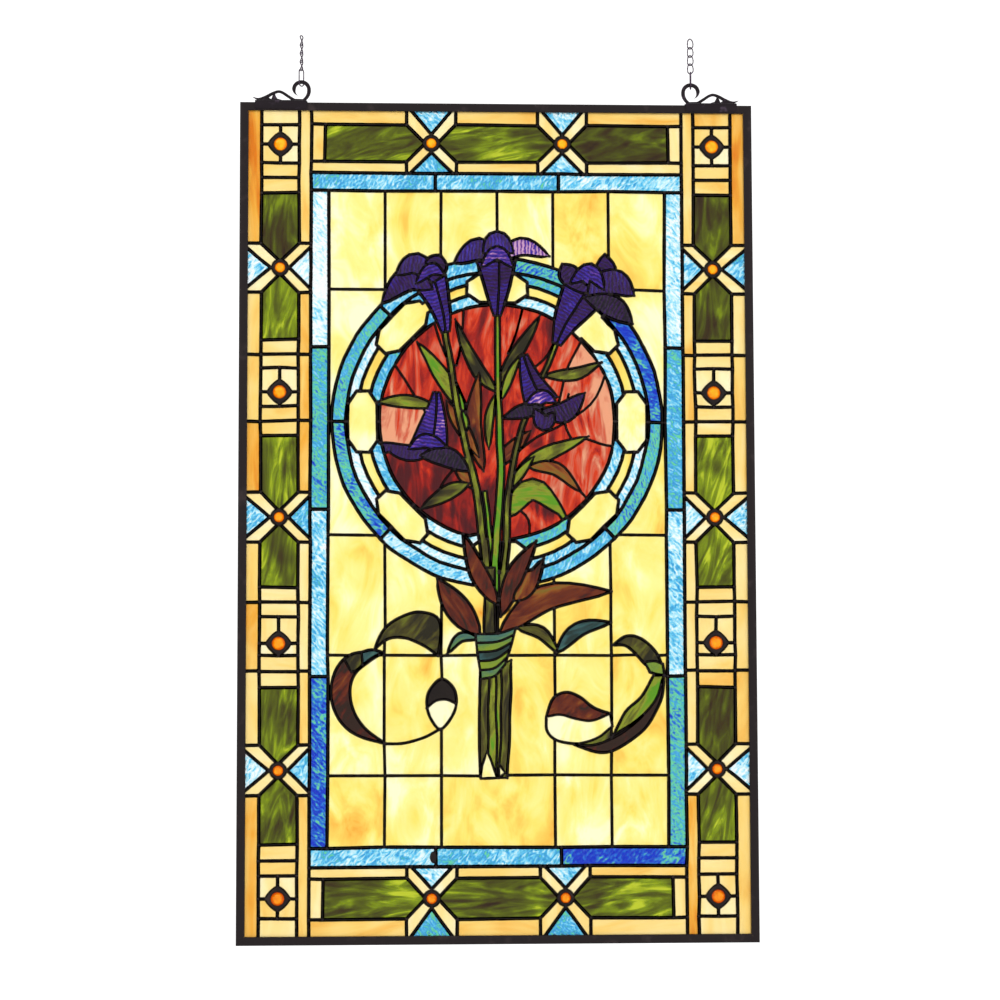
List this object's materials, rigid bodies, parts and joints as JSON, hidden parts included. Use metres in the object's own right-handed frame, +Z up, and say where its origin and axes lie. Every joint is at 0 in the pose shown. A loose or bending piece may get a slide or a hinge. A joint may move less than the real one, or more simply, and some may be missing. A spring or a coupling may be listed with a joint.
{
  "type": "stained glass window panel",
  "caption": "Tall rectangular stained glass panel with a flower bouquet in a ring, a patterned border, a metal channel frame and two scroll hangers on short chains.",
  "frame": {"origin": "the hanging point, midway between the two top chain links, level with the inner tops of these links and in the middle of the frame's depth to within 0.2 mm", "axes": "+Z up, +X to the right as seen from the front, front face towards -Y"},
  "size_m": [0.508, 0.0099, 0.8937],
  "materials": {
    "frame": "dark bronze patina, satin",
    "hanger": "dark purple-brown patina, satin casting",
    "chain": "dark bronze plating, half gloss",
    "solder": "black-brown patina on solder, half gloss",
    "jewel": "faceted amber glass, polished",
    "glass_cream": "cream and amber opalescent sheet, wispy, with green pieces in the border",
    "glass_blue": "rippled blue and turquoise sheet, with cream pieces in the ring",
    "glass_red": "red to salmon streaky sheet, with brown and green leaves",
    "glass_violet": "deep violet streaky sheet",
    "glass_green": "green, teal and brown streaky sheet"
  },
  "bodies": {
    "root": {"frame_left": "frame", "frame_right": "frame", "frame_top": "frame", "frame_bottom": "frame", "hanger_left": "hanger", "hanger_right": "hanger", "chain_left_1": "chain", "chain_left_2": "chain", "chain_left_3": "chain", "chain_left_4": "chain", "chain_left_5": "chain", "chain_right_1": "chain", "chain_right_2": "chain", "chain_right_3": "chain", "chain_right_4": "chain", "chain_right_5": "chain", "jewel_block_left_1": "jewel", "jewel_block_left_2": "jewel", "jewel_block_left_3": "jewel", "jewel_block_left_4": "jewel", "jewel_crossing_left_1": "jewel", "jewel_crossing_left_2": "jewel", "jewel_crossing_left_3": "jewel", "jewel_block_right_1": "jewel", "jewel_block_right_2": "jewel", "jewel_block_right_3": "jewel", "jewel_block_right_4": "jewel", "jewel_crossing_right_1": "jewel", "jewel_crossing_right_2": "jewel", "jewel_crossing_right_3": "jewel", "jewel_crossing_top_1": "jewel", "jewel_crossing_top_2": "jewel", "jewel_crossing_bottom_1": "jewel", "jewel_crossing_bottom_2": "jewel", "solder_lines_front": "solder", "solder_lines_back": "solder", "glass_border_left": "glass_cream", "glass_border_right": "glass_cream", "glass_border_top": "glass_cream", "glass_border_bottom": "glass_cream", "glass_field_upper": "glass_cream", "glass_field_lower": "glass_cream", "glass_blue_top": "glass_blue", "glass_blue_bottom": "glass_blue", "glass_blue_left": "glass_blue", "glass_blue_right": "glass_blue", "glass_ring_left": "glass_blue", "glass_ring_right": "glass_blue", "glass_ring_head_left": "glass_blue", "glass_ring_head_right": "glass_blue", "glass_ground_and_leaves": "glass_red", "glass_flower_top": "glass_violet", "glass_flower_upper_left": "glass_violet", "glass_flower_upper_right": "glass_violet", "glass_flower_middle_left": "glass_violet", "glass_flower_middle_right": "glass_violet", "glass_stem_ends": "glass_green", "glass_binding": "glass_green", "glass_scroll_left": "glass_green", "glass_scroll_right": "glass_green"}
  },
  "joints": []
}
